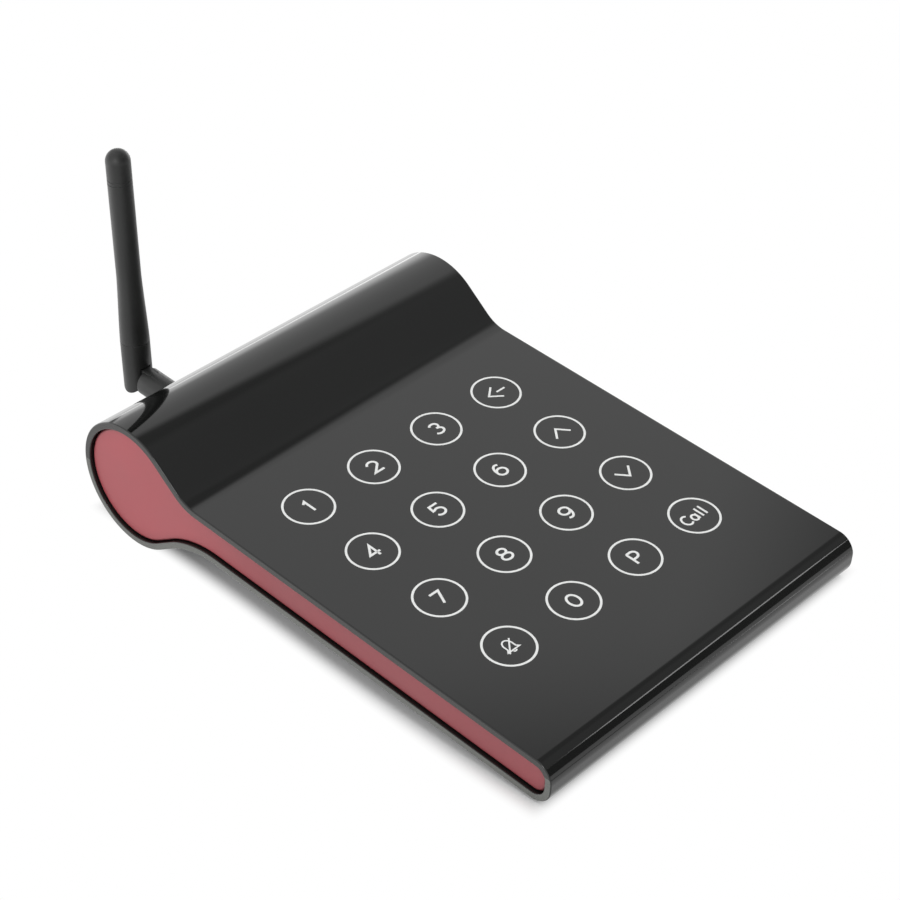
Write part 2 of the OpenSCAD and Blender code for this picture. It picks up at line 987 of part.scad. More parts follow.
// Round base, hollow over the screw-on nut, with a flat tongue for the hinge
module antenna_base() {
    nut_end = screw_nut_start + screw_nut_l;
    color([0.13, 0.13, 0.13])
        on_jack()
            difference() {
                union() {
                    translate([0, 0, screw_nut_start])
                        cylinder(h = shoulder - screw_nut_start, r = base_d / 2);
                    translate([-tongue_w / 2, -tongue_r, shoulder - 1])
                        cube([tongue_w, 2 * tongue_r, hinge_out - shoulder + 1]);
                    translate([-tongue_w / 2, 0, hinge_out])
                        rotate([0, 90, 0])
                            cylinder(h = tongue_w, r = tongue_r);
                }
                translate([0, 0, screw_nut_start - cut])
                    cylinder(h = screw_nut_l + cut + side_gap, r = screw_nut_d / 2 + run_gap);
                translate([0, 0, nut_end])
                    cylinder(h = 3, r = contact_r + 0.3);
                translate([-tongue_w, 0, hinge_out])
                    rotate([0, 90, 0])
                        cylinder(h = 2 * tongue_w, r = pin_d / 2 + run_gap);
            }
}

module antenna_contact() {
    nut_end = screw_nut_start + screw_nut_l;
    color([0.90, 0.75, 0.35])
        on_jack() {
            translate([0, 0, thread_out - dielectric_depth + 0.5])
                cylinder(h = nut_end + 3 - thread_out + dielectric_depth - 0.5, r = contact_r);
            translate([0, 0, nut_end + 1.5])
                cylinder(h = 1.5, r = contact_r + 0.25);
        }
}

// Frame of the blade: it stands up from the hinge pin's middle
module on_hinge() {
    translate([antenna_x, hinge_at[0], hinge_at[1]])
        rotate([stand_a - blade_back, 0, 0])
            children();
}

module crosswise(length, r) {
    translate([-length / 2, 0, 0])
        rotate([0, 90, 0])
            cylinder(h = length, r = r);
}

module hinge_pin() {
    color([0.60, 0.60, 0.62])
        on_hinge()
            crosswise(slot_w + 2 * pin_depth, pin_d / 2);
}

module antenna_fork() {
    color([0.13, 0.13, 0.13])
        on_hinge()
            difference() {
                union() {
                    cylinder(h = fork_l, r = fork_r);
                    intersection() {
                        crosswise(fork_d, ear_r);
                        translate([0, 0, -ear_r])
                            cylinder(h = ear_r + 1, r = fork_r);
                    }
                    cylinder(h = fork_l + spigot_l, r = spigot_r);
                }
                translate([-slot_w / 2, -fork_d, -fork_d])
                    cube([slot_w, 2 * fork_d, fork_d + slot_top]);
                crosswise(slot_w + 2 * pin_depth, pin_d / 2);
                translate([0, 0, fork_l + spigot_l - 4])
                    cylinder(h = 4 + cut, r = whip_d / 2 + 0.05);
            }
}

module antenna_sleeve() {
    start = fork_l + seam;
    top = cap_start - seam;
    color([0.13, 0.13, 0.13])
        on_hinge()
            difference() {
                union() {
                    translate([0, 0, start])
                        cylinder(h = taper_end - start, r1 = fork_r, r2 = blade_r);
                    translate([0, 0, taper_end])
                        cylinder(h = top - taper_end, r = blade_r);
                    translate([0, 0, fork_l])
                        cylinder(h = seam + 1, r = fork_r - seam);
                    cylinder_between(top - 1, cap_start, blade_r - seam);
                }
                cylinder_between(fork_l - cut, cap_start + cut, sleeve_bore_r);
            }
}

module cylinder_between(z0, z1, r) {
    translate([0, 0, z0])
        cylinder(h = z1 - z0, r = r);
}

module antenna_cap() {
    color([0.13, 0.13, 0.13])
        on_hinge() {
            cylinder_between(cap_start, blade_l - blade_r, blade_r);
            intersection() {
                translate([0, 0, blade_l - blade_r])
                    sphere(blade_r);
                cylinder_between(blade_l - blade_r - cut, blade_l + cut, blade_r + cut);
            }
            cylinder_between(cap_start - cap_plug_l, cap_start + 1, cap_plug_r);
        }
}

module antenna_whip() {
    color([0.83, 0.68, 0.30])
        on_hinge()
            cylinder_between(fork_l + spigot_l - 4, cap_start - cap_plug_l - 0.3, whip_d / 2);
}

upper_shell();
lower_shell();
left_end_panel();
right_end_panel();
bonding_film();
sensing_discs();
touch_board();
touch_controller();
touch_socket();
flat_cable();
main_socket();
main_board();
microcontroller();
radio_module();
crystal();
capacitors();
buzzer();
dc_inlet();
dc_contact();
digit_display();
display_carrier();
display_screws();
board_screws();
case_screws();
front_left_foot();
front_right_foot();
rear_left_foot();
rear_right_foot();
antenna_jack();
jack_washer();
jack_nut();
antenna_nut();
antenna_base();
antenna_contact();
hinge_pin();
antenna_fork();
antenna_sleeve();
antenna_cap();
antenna_whip();
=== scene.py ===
"""Guest pager keypad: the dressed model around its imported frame.

Lengths are millimetres in the drawing frame of part.scad until STAND puts them on
their feet, in metres. In that frame x is across, y to the rear and z up from the
keypad face, with y = 0 at the middle of the keys.
"""

import json
import math

import bmesh
import bpy
from mathutils import Euler, Matrix, Vector

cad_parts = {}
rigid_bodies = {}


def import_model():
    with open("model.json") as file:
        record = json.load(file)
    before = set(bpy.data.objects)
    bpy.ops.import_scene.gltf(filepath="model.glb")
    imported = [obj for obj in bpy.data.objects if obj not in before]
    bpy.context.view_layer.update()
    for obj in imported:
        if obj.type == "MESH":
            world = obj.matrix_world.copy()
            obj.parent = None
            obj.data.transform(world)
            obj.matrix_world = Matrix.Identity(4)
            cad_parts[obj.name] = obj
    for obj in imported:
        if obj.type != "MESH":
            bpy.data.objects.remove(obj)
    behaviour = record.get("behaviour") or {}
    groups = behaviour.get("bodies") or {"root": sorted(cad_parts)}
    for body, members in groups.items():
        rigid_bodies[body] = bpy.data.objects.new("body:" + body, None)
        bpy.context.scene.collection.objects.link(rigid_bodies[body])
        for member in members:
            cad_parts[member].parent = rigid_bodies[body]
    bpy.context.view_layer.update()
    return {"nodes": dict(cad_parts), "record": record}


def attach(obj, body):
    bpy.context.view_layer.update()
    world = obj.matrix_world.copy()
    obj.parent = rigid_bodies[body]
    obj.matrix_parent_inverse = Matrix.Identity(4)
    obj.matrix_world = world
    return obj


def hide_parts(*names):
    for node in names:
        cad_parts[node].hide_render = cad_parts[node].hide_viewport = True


# What Blender starts with goes before the frame comes in
for spare in list(bpy.data.objects):
    bpy.data.objects.remove(spare)

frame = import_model()
scene = bpy.context.scene
scene.view_settings.view_transform = "Standard"

# ---------------------------------------------------------------- sizes, as in part.scad

CASE_W = 129.0
FRONT_REACH = 77.6
ROLL_Y = 87.4
ROLL_R = 20.7
ROLL_DROP = 8.0
SLAB_T = 14.4
SLOPE = math.radians(36.0)
SLOPE_R = 12.8
BELLY_R = 32.0
NOSE_TOP_R = 5.7
NOSE_LOW_R = 6.5
WALL = 3.0
PART_FRONT = 3.7
PART_REAR = 9.0
KEY_PITCH = 26.0
KEY_COUNT = 4
FOOT_BACK = 6.7
FOOT_H = 0.8
PANEL_RECESS = 1.1
PANEL_T = 2.0

FIT_GAP = 0.15
RUN_GAP = 0.06
SIDE_GAP = 0.2
EAR_GAP = 0.3

BOARD_T = 1.6
INLET_X = 30.0
INLET_H = 11.0
INLET_CLEAR = 0.6
INLET_WAY_R = 5.2

ANTENNA_X = -28.0
HINGE_OUT = 19.2
SPOT_R = 6.0
SPOT_DEPTH = 1.2
THREAD_R = 3.1
THREAD_OUT = 7.4
NUT_T = 1.8
WASHER_T = 0.5
SKIRT_GAP = 0.4
SCREW_NUT_R = 3.8
SCREW_NUT_PAST = 1.0
BASE_R = 4.5
TONGUE_W = 3.4
TONGUE_R = 4.4
PIN_R = 1.5
PIN_DEPTH = 1.8
FORK_R = 4.55
FORK_L = 13.0
SPIGOT_R = 2.4
SPIGOT_L = 7.0
SPIGOT_GAP = 0.05
BLADE_R = 3.75
BLADE_L = 79.0
BLADE_BACK = math.radians(3.4)
TAPER_END = 36.0
CAP_L = 9.3
CAP_PLUG_R = 2.0
CAP_PLUG_L = 4.0

QUARTER = math.pi / 2
NOSE_Y = -FRONT_REACH
REAR_Y = ROLL_Y + ROLL_R
ROLL_C = Vector((ROLL_Y, -ROLL_DROP))
NOSE_TOP_C = Vector((NOSE_Y + NOSE_TOP_R, -NOSE_TOP_R))
NOSE_LOW_C = Vector((NOSE_Y + NOSE_LOW_R, NOSE_LOW_R - SLAB_T))

INLET_Z = -ROLL_DROP + BOARD_T / 2 + INLET_H / 2
INLET_TOP = INLET_Z + INLET_H / 2
INLET_FACE_Y = (ROLL_Y + math.sqrt((ROLL_R - WALL) ** 2 - (INLET_TOP + ROLL_DROP) ** 2)
                - INLET_CLEAR)

JACK_HOLE_R = THREAD_R + FIT_GAP
SKIRT_START = NUT_T + WASHER_T - SPOT_DEPTH + SKIRT_GAP
SKIRT_BORE_R = SCREW_NUT_R + RUN_GAP
SKIRT_BORE_END = THREAD_OUT + SCREW_NUT_PAST + SIDE_GAP
SHOULDER = HINGE_OUT - FORK_R - EAR_GAP
SLOT_W = TONGUE_W + 2 * SIDE_GAP
SLOT_TOP = TONGUE_R + EAR_GAP
SLEEVE_BORE_R = SPIGOT_R + SPIGOT_GAP
CAP_START = BLADE_L - CAP_L


def roll_touch(side):
    """Where the slope (side 1) or the belly's line (side -1) touches the roll."""
    return ROLL_C + ROLL_R * Vector((-math.sin(SLOPE), side * math.cos(SLOPE)))


slope_foot_y = roll_touch(1).x - roll_touch(1).y / math.tan(SLOPE)
belly_foot_y = roll_touch(-1).x + (roll_touch(-1).y + SLAB_T) / math.tan(SLOPE)
SLOPE_C = Vector((slope_foot_y - SLOPE_R * math.tan(SLOPE / 2), SLOPE_R))
BELLY_C = Vector((belly_foot_y - BELLY_R * math.tan(SLOPE / 2), -SLAB_T - BELLY_R))

# The stand: the feet reach equally far below the roll and below the slab
reach_y = NOSE_Y + FOOT_BACK - ROLL_Y
reach_z = ROLL_DROP - SLAB_T
STAND_A = math.atan2(reach_y, reach_z) + math.acos(-ROLL_R / math.hypot(reach_y, reach_z))
stand_lift = ROLL_R + FOOT_H - (ROLL_Y * math.sin(STAND_A) - ROLL_DROP * math.cos(STAND_A))


def tipped(y, z):
    """A point of the side view, turned by the stand's angle."""
    return (y * math.cos(STAND_A) - z * math.sin(STAND_A),
            y * math.sin(STAND_A) + z * math.cos(STAND_A))


front_most = tipped(NOSE_Y + NOSE_TOP_R, -NOSE_TOP_R)[0] - NOSE_TOP_R
rear_most = tipped(REAR_Y + HINGE_OUT, -ROLL_DROP)[0] + FORK_R
stand_shift = -(front_most + rear_most) / 2

MM = Matrix.Scale(0.001, 4)
STAND = (MM @ Matrix.Translation((0, stand_shift, stand_lift))
         @ Matrix.Rotation(STAND_A, 4, "X"))
# JACK has z out along the jack from the roll's rear face, HINGE along the blade from its pin
JACK = (STAND @ Matrix.Translation((ANTENNA_X, REAR_Y, -ROLL_DROP))
        @ Matrix.Rotation(-QUARTER, 4, "X"))
HINGE = (STAND @ Matrix.Translation((ANTENNA_X, REAR_Y + HINGE_OUT, -ROLL_DROP))
         @ Matrix.Rotation(-BLADE_BACK, 4, "X"))


# ---------------------------------------------------------------- node helpers

class Net:
    """A node tree, with a short call for each kind of node that is used often."""

    def __init__(self, tree):
        self.nodes = tree.nodes
        self.link = tree.links.new

    def put(self, socket, value):
        """Links an input to another node's output, or sets it to a constant."""
        if isinstance(value, bpy.types.NodeSocket):
            self.link(value, socket)
        else:
            socket.default_value = value

    def add(self, kind, inputs=None):
        """A new node of a kind, with the named inputs linked or set."""
        node = self.nodes.new("ShaderNode" + kind)
        for name, value in (inputs or {}).items():
            self.put(node.inputs[name], value)
        return node

    def calc(self, operation, *values):
        """The result of a math node."""
        node = self.add("Math")
        node.operation = operation
        for socket, value in zip(node.inputs, values):
            self.put(socket, value)
        return node.outputs[0]

    def fade(self, value, low, high, start=0.0, end=1.0):
        """Goes smoothly from start to end as value goes from low to high."""
        node = self.add("MapRange", {"Value": value, "From Min": low, "From Max": high,
                                     "To Min": start, "To Max": end})
        node.interpolation_type = "SMOOTHSTEP"
        return node.outputs["Result"]

    def split(self, vector):
        """The parts of a vector, named X, Y and Z."""
        return self.add("SeparateXYZ", {"Vector": vector}).outputs

    def noise(self, scale, detail=3.0, rough=0.5):
        """Noise that sticks to the object, from 0 to 1."""
        place = self.add("TexCoord").outputs["Object"]
        return self.add("TexNoise", {"Vector": place, "Scale": scale, "Detail": detail,
                                     "Roughness": rough}).outputs["Fac"]

    def ramp(self, fac, low, high):
        """Blends two colours, or two greys given as numbers, over a noise's middle range."""
        node = self.add("ValToRGB", {"Fac": fac})
        for element, place, value in zip(node.color_ramp.elements, (0.3, 0.7), (low, high)):
            element.position = place
            color = value if isinstance(value, tuple) else (value, value, value)
            element.color = (*color, 1.0)
        return node.outputs["Color"]

    def bump(self, height, strength, distance):
        """The normal of a surface with relief."""
        return self.add("Bump", {"Height": height, "Strength": strength,
                                 "Distance": distance}).outputs["Normal"]

    def mix(self, fac, first, second):
        """The first shader where fac is 0 and the second where it is 1."""
        node = self.add("MixShader", {"Fac": fac})
        self.link(first, node.inputs[1])
        self.link(second, node.inputs[2])
        return node.outputs[0]


def new_material(name):
    """A new material, its net and its main shader."""
    mat = bpy.data.materials.new(name)
    mat.use_nodes = True
    return mat, Net(mat.node_tree), mat.node_tree.nodes["Principled BSDF"]


# ---------------------------------------------------------------- materials

def moulded(name, low, high, rough, scale=60.0, rough_scale=35.0, grain=None, metallic=0.0):
    """A material whose colour and roughness drift a little over the surface.

    Colour goes from low to high over a noise of one scale, roughness through its pair
    over another. A grain is a bump of (noise scale, strength, distance).
    """
    mat, net, shader = new_material(name)
    shader.inputs["Metallic"].default_value = metallic
    shader.inputs["IOR"].default_value = 1.5
    shader.inputs["Specular IOR Level"].default_value = 0.5
    net.put(shader.inputs["Base Color"], net.ramp(net.noise(scale), low, high))
    net.put(shader.inputs["Roughness"], net.ramp(net.noise(rough_scale, 4.0, 0.6), *rough))
    if grain:
        grain_scale, strength, distance = grain
        net.put(shader.inputs["Normal"],
                net.bump(net.noise(grain_scale, 2.0), strength, distance))
    return mat


# One material for each material slot of the frame's nodes
MATERIALS = {
    "case_gloss": moulded("gloss_black_face", (0.0045, 0.0048, 0.0046), (0.0060, 0.0064, 0.0060),
                          (0.055, 0.075), 9.0, 6.0),
    "case_lower": moulded("gloss_black_base", (0.0060, 0.0064, 0.0060), (0.0085, 0.0088, 0.0085),
                          (0.10, 0.14), 9.0, 12.0),
    "end_panel": moulded("wine_red_panel", (0.40, 0.066, 0.080), (0.45, 0.076, 0.092),
                         (0.34, 0.42), 30.0, 60.0, (900.0, 0.06, 0.0002)),
    "rubber": moulded("foot_rubber", (0.012, 0.012, 0.012), (0.022, 0.022, 0.022),
                      (0.72, 0.86), 200.0, 300.0, (1500.0, 0.25, 0.0002)),
    "antenna_plastic": moulded("antenna_black", (0.010, 0.0105, 0.010), (0.015, 0.0155, 0.015),
                               (0.42, 0.50), 60.0, 90.0, (1400.0, 0.16, 0.00012)),
    "film": moulded("clear_film", (0.60, 0.60, 0.54), (0.66, 0.66, 0.60), (0.3, 0.4)),
    "board": moulded("green_board", (0.012, 0.085, 0.035), (0.018, 0.110, 0.048),
                     (0.28, 0.36), 120.0, 200.0, (600.0, 0.1, 0.0002)),
    "copper": moulded("plated_copper", (0.70, 0.40, 0.20), (0.78, 0.46, 0.24),
                      (0.22, 0.32), 80.0, metallic=1.0),
    "chip": moulded("chip_epoxy", (0.018, 0.018, 0.020), (0.028, 0.028, 0.030),
                    (0.55, 0.68), 300.0, 300.0, (2500.0, 0.2, 0.0001)),
    "socket": moulded("cream_nylon", (0.62, 0.57, 0.44), (0.68, 0.63, 0.50), (0.45, 0.55)),
    "cable": moulded("white_cable", (0.72, 0.72, 0.70), (0.78, 0.78, 0.76), (0.4, 0.5)),
    "can": moulded("tinned_steel", (0.58, 0.59, 0.61), (0.66, 0.67, 0.69),
                   (0.28, 0.40), 120.0, metallic=1.0),
    "capacitor": moulded("blue_sleeve", (0.012, 0.025, 0.10), (0.018, 0.035, 0.13), (0.25, 0.35)),
    "inlet": moulded("moulded_inlet", (0.012, 0.012, 0.012), (0.020, 0.020, 0.020),
                     (0.45, 0.55), 200.0, 200.0, (1200.0, 0.12, 0.0001)),
    "nickel": moulded("nickel_plate", (0.70, 0.69, 0.66), (0.76, 0.75, 0.72),
                      (0.16, 0.26), 200.0, 300.0, metallic=1.0),
    "display": moulded("grey_block", (0.30, 0.31, 0.30), (0.35, 0.36, 0.35), (0.35, 0.45)),
    "brass": moulded("gilt_brass", (0.72, 0.52, 0.20), (0.80, 0.60, 0.26),
                     (0.18, 0.30), 200.0, 300.0, metallic=1.0),
    "screw": moulded("black_zinc", (0.10, 0.10, 0.105), (0.15, 0.15, 0.155),
                     (0.30, 0.42), 200.0, 300.0, metallic=1.0),
    "pin_steel": moulded("turned_steel", (0.50, 0.50, 0.51), (0.58, 0.58, 0.59),
                         (0.25, 0.35), 300.0, 300.0, metallic=1.0),
}
# The rims are the shells' satin end faces. The upper one keeps their own dark grey; the lower
# one's much lighter grey is that grey with a painted reflection of the white floor in it.
RIM_UPPER = moulded("rim_satin_upper", (0.018, 0.017, 0.016), (0.026, 0.025, 0.023),
                    (0.22, 0.30), 40.0, 60.0)
RIM_LOWER_PAINTED_REFLECTION = moulded("rim_satin_lower_painted_reflection", (0.110, 0.116, 0.106), (0.130, 0.136, 0.124),
                    (0.24, 0.32), 40.0, 60.0)
INK = moulded("key_ink", (0.72, 0.73, 0.72), (0.80, 0.81, 0.80), (0.30, 0.38), 400.0, 300.0)

# Painted shade: the red panel's colour is darker by these factors where a wall stands within a
# reach, and ahead of its round end, where that change starts and ends at two y; in metres
RECESS_SHADE_FACTOR = 0.30
RECESS_SHADE_REACH = 0.0035
STRIP_SHADE_FACTOR = 0.70
STRIP_SHADE_FRONT = 0.0
STRIP_SHADE_REAR = 0.045


def deepen(mat, factor):
    """Multiplies a material's colour by the output that factor(net) makes."""
    net = Net(mat.node_tree)
    base = net.nodes["Principled BSDF"].inputs["Base Color"]
    shade = net.add("VectorMath")
    shade.operation = "SCALE"
    net.link(base.links[0].from_socket, shade.inputs[0])
    net.link(factor(net), shade.inputs["Scale"])
    net.link(shade.outputs["Vector"], base)


def painted_recess_shade(net):
    """Painted shade: darker where a wall stands close by, as along the rim."""
    near = net.add("AmbientOcclusion", {"Distance": RECESS_SHADE_REACH})
    near.samples = 8
    return net.fade(near.outputs["AO"], 0.35, 1.0, RECESS_SHADE_FACTOR, 1.0)


def painted_strip_shade(net):
    """Painted shade: darker along the narrow strip ahead of the round end, as the photo shows it.
    """
    place = net.split(net.add("NewGeometry").outputs["Position"])
    return net.fade(place["Y"], STRIP_SHADE_FRONT, STRIP_SHADE_REAR, STRIP_SHADE_FACTOR, 1.0)


# Painted shade on the red panel: near the rim's walls and along its narrow strip
deepen(MATERIALS["end_panel"], painted_recess_shade)
deepen(MATERIALS["end_panel"], painted_strip_shade)

slots = {row["node"]: row["material_slot"] for row in frame["record"]["subparts"]}
for node, obj in frame["nodes"].items():
    obj.data.materials.clear()
    obj.data.materials.append(MATERIALS[slots[node]])


# ---------------------------------------------------------------- mesh helpers

# Slack that lets a cutting tool pass the face that it cuts
CUT = 1.0
SMOOTH_ANGLE = math.radians(38)


def add_object(name, mesh, slot, body, material=None, replaced=()):
    """Adds a piece in its slot's material, or another one, riding on its body."""
    obj = bpy.data.objects.new(name, mesh)
    scene.collection.objects.link(obj)
    if not mesh.materials:
        mesh.materials.append(material or MATERIALS[slot])
    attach(obj, body)
    if replaced:
        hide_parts(*replaced)
    return obj


def closed_mesh(name, bm, matrix=None):
    """Turns a bmesh into a mesh whose faces look outward, placed by the matrix."""
    bmesh.ops.recalc_face_normals(bm, faces=bm.faces)
    if matrix is not None:
        bm.transform(matrix)
    mesh = bpy.data.meshes.new(name)
    bm.to_mesh(mesh)
    bm.free()
    return mesh


def smooth(mesh):
    """Shades a mesh smooth, with its sharp edges kept."""
    mesh.polygons.foreach_set("use_smooth", [True] * len(mesh.polygons))
    mesh.set_sharp_from_angle(angle=SMOOTH_ANGLE)


def rod(bm, start, end, radius, segments=96):
    """A cylinder from one point to another."""
    axis = Vector(end) - Vector(start)
    turn = axis.to_track_quat("Z", "Y").to_matrix().to_4x4()
    bmesh.ops.create_cone(bm, cap_ends=True, segments=segments, radius1=radius, radius2=radius,
                          depth=axis.length,
                          matrix=Matrix.Translation((Vector(start) + Vector(end)) / 2) @ turn)


def brick(bm, low, high):
    """A box between two corners."""
    size = Vector(high) - Vector(low)
    bmesh.ops.create_cube(bm, size=1.0, matrix=Matrix.Translation((Vector(low) + Vector(high)) / 2)
                          @ Matrix.Diagonal((*size, 1.0)))


def loose_object(mesh):
    """An object for use in a cut, which is removed afterwards."""
    obj = bpy.data.objects.new("loose", mesh)
    scene.collection.objects.link(obj)
    return obj


def solid(build):
    """A mesh made by build(bm)."""
    bm = bmesh.new()
    build(bm)
    return closed_mesh("solid", bm)


def combine(name, start, steps):
    """A mesh with other solids added, cut out or intersected in turn by boolean steps."""
    target = loose_object(start)
    made = [target]
    for operation, build in steps:
        tool = loose_object(solid(build))
        made.append(tool)
        mod = target.modifiers.new("step", "BOOLEAN")
        mod.operation = operation
        mod.solver = "EXACT"
        mod.object = tool
    bpy.context.view_layer.update()
    graph = bpy.context.evaluated_depsgraph_get()
    mesh = bpy.data.meshes.new_from_object(target.evaluated_get(graph))
    mesh.name = name
    for obj in made:
        bpy.data.objects.remove(obj)
    return mesh


# ---------------------------------------------------------------- shells

# How far each shell's outline stays back from the parting line, for a fine groove
SEAM = 0.12
# The rim round an end panel is as thin as the photo's, thinner than the solids' wall
RIM_W = 2.2
RIM_R = 0.4
RIM_IN_R = 0.3
# Steps along the arcs of the rim's edges and of the side view
RIM_STEPS = 5
RIM_IN_STEPS = 3
NOSE_TOP_STEPS = 14
NOSE_FRONT_STEPS = 6
NOSE_LOW_STEPS = 16
BEND_STEPS = 16
ROLL_STEPS = 52
# Segments of the holes through the shells
HOLE_SEGMENTS = 72
# How far a hole's cutter reaches out past the roll, and in past the wall at the jack
HOLE_OUT = 5.0
JACK_HOLE_IN = 8.0
# A face is the rim's own where its normal points this much along x
END_FACING = 0.95
# How near the roll's or a hole's surface a face's corners lie to be part of it
ROLL_TOLERANCE = 0.03
HOLE_TOLERANCE = 0.01
# A corner takes the true normal where that and the face's agree this well, as a cosine
NORMAL_MATCH = 0.8


def spoke(angle):
    """The unit vector at an angle."""
    return Vector((math.cos(angle), math.sin(angle)))


def part_z(y):
    """Height of the parting line at y."""
    return -PART_FRONT - (PART_REAR - PART_FRONT) * (y - NOSE_Y) / (REAR_Y - NOSE_Y)


def crossing(center, radius, low, high):
    """Angle between low and high at which an arc meets the parting line, by halving."""
    def above(angle):
        point = center + radius * spoke(angle)
        return point.y > part_z(point.x)
    side = above(low)
    for _ in range(60):
        middle = (low + high) / 2
        if above(middle) == side:
            low = middle
        else:
            high = middle
    return (low + high) / 2


def seam_angles(inset):
    """Where the inset arcs of the nose's top and of the roll meet the parting line."""
    return (crossing(NOSE_TOP_C, NOSE_TOP_R - inset, QUARTER, math.pi),
            crossing(ROLL_C, ROLL_R - inset, -QUARTER, QUARTER))


def arc(center, radius, start, end, steps, inward=False):
    """Points and outward normals along an arc; inward for a hollow one."""
    rows = []
    for k in range(steps + 1):
        out = spoke(start + (end - start) * k / steps)
        rows.append((center + radius * out, -out if inward else out))
    return rows


def half_profile(inset, upper, gap=SEAM):
    """Side view of a shell's outline at an inset, from the front seam to the rear one."""
    top_r = NOSE_TOP_R - inset
    roll_r = ROLL_R - inset
    front, rear = seam_angles(inset)
    if upper:
        rows = arc(NOSE_TOP_C, top_r, front - gap / top_r, QUARTER, NOSE_TOP_STEPS)
        rows += arc(SLOPE_C, SLOPE_R + inset, -QUARTER, SLOPE - QUARTER, BEND_STEPS, True)
        rows += arc(ROLL_C, roll_r, QUARTER + SLOPE, rear + gap / roll_r, ROLL_STEPS)
    else:
        rows = arc(NOSE_TOP_C, top_r, front + gap / top_r, math.pi, NOSE_FRONT_STEPS)
        rows += arc(NOSE_LOW_C, NOSE_LOW_R - inset, math.pi, 3 * QUARTER, NOSE_LOW_STEPS)
        rows += arc(BELLY_C, BELLY_R + inset, QUARTER, QUARTER - SLOPE, BEND_STEPS, True)
        rows += arc(ROLL_C, roll_r, -QUARTER - SLOPE, rear - gap / roll_r, ROLL_STEPS)
    return rows


def seam_points(inset):
    """The two points where the inset outline meets the parting line itself."""
    front, rear = seam_angles(inset)
    return (NOSE_TOP_C + (NOSE_TOP_R - inset) * spoke(front),
            ROLL_C + (ROLL_R - inset) * spoke(rear))


def shell_sections():
    """Side views round a shell, from the left rim over the outside to the inner wall.

    Each is (x, inset, normal's part along x, scale of its part in the side view).
    """
    half = CASE_W / 2
    outer = []
    for k in range(RIM_STEPS + 1):
        angle = QUARTER * (1 - k / RIM_STEPS)
        outer.append((half - RIM_R + RIM_R * math.sin(angle),
                      RIM_R * (1 - math.cos(angle)), math.sin(angle), math.cos(angle)))
    inner = []
    for k in range(RIM_IN_STEPS + 1):
        angle = QUARTER * k / RIM_IN_STEPS
        inner.append((half - RIM_IN_R + RIM_IN_R * math.cos(angle),
                      RIM_W - RIM_IN_R + RIM_IN_R * math.sin(angle),
                      math.cos(angle), -math.sin(angle)))

    def mirrored(sections):
        return [(-x, inset, -across, scale) for x, inset, across, scale in sections]

    return mirrored(outer) + outer[::-1] + inner + mirrored(inner[::-1])


def corner_key(point):
    """Finds a corner again after the holes have been cut."""
    return tuple(round(c, 4) for c in point)


def shell_mesh(upper):
    """One shell as a closed loop of side views, and the true normal at each corner."""
    verts, rows, true_normals = [], [], {}
    for x, inset, across, scale in shell_sections():
        body = half_profile(inset, upper)
        first, last = seam_points(inset + (SEAM if scale > 0 else 0.0))
        rows.append(range(len(verts), len(verts) + len(body) + 2))
        for point, normal in [(first, body[0][1])] + body + [(last, body[-1][1])]:
            vert = Vector((x, point.x, point.y))
            verts.append(vert)
            true_normals[corner_key(vert)] = Vector(
                (across, normal.x * scale, normal.y * scale)).normalized()
    faces = []
    for a, b in zip(rows, rows[1:] + rows[:1]):
        faces += [(a[j], a[j + 1], b[j + 1], b[j]) for j in range(len(a) - 1)]
    faces.append([row[0] for row in rows])
    faces.append([row[-1] for row in rows[::-1]])

    mesh = bpy.data.meshes.new("shell")
    mesh.from_pydata(verts, [], faces)
    bm = bmesh.new()
    bm.from_mesh(mesh)
    return closed_mesh("shell", bm), true_normals


def true_normal(point, poly, on_roll, bore, true_normals):
    """The surface's own normal at a corner of a face."""
    if on_roll:
        return Vector((0, point.y - ROLL_Y, point.z + ROLL_DROP)).normalized()
    if bore:
        return Vector((bore[0] - point.x, 0, bore[2] - point.z)).normalized()
    known = true_normals.get(corner_key(point))
    if known is not None and known.dot(poly.normal) > NORMAL_MATCH:
        return known
    return poly.normal


def shade_shell(mesh, true_normals, holes):
    """Gives each corner the true surface's normal, so the gloss shows no facets."""
    flat_half = CASE_W / 2 - RIM_R
    corner_normals = [None] * len(mesh.loops)
    for poly in mesh.polygons:
        poly.use_smooth = True
        points = [mesh.vertices[v].co for v in poly.vertices]
        on_roll = all(abs(math.hypot(p.y - ROLL_Y, p.z + ROLL_DROP) - ROLL_R) < ROLL_TOLERANCE
                      and abs(p.x) < flat_half + HOLE_TOLERANCE for p in points)
        bore = None
        for inner, _, radius in holes:
            if all(abs(math.hypot(p.x - inner[0], p.z - inner[2]) - radius) < HOLE_TOLERANCE
                   for p in points):
                bore = inner
        for loop in poly.loop_indices:
            point = mesh.vertices[mesh.loops[loop].vertex_index].co
            corner_normals[loop] = true_normal(point, poly, on_roll, bore, true_normals)
    mesh.normals_split_custom_set([tuple(n) for n in corner_normals])


def make_shell(name, upper, slot, node, rim, holes):
    """A shell with its holes and exact normals, on its feet, its ends in the rim's material."""
    mesh, true_normals = shell_mesh(upper)
    mesh = combine(name, mesh, [
        ("DIFFERENCE", lambda bm, hole=hole: rod(bm, *hole, HOLE_SEGMENTS)) for hole in holes])
    shade_shell(mesh, true_normals, holes)
    normals = [Vector(n.vector) for n in mesh.corner_normals]
    turn = STAND.to_3x3().normalized()
    mesh.transform(STAND)
    mesh.normals_split_custom_set([tuple((turn @ n).normalized()) for n in normals])
    mesh.materials.append(MATERIALS[slot])
    mesh.materials.append(rim)
    for poly in mesh.polygons:
        if abs(poly.normal.x) > END_FACING:
            poly.material_index = 1
    return add_object(name, mesh, slot, "case", replaced=(node,))


def rear_hole(x, z, inner_y, radius):
    """A hole through the roll's rear: inner end, outer end and radius."""
    return (x, inner_y, z), (x, REAR_Y + HOLE_OUT, z), radius


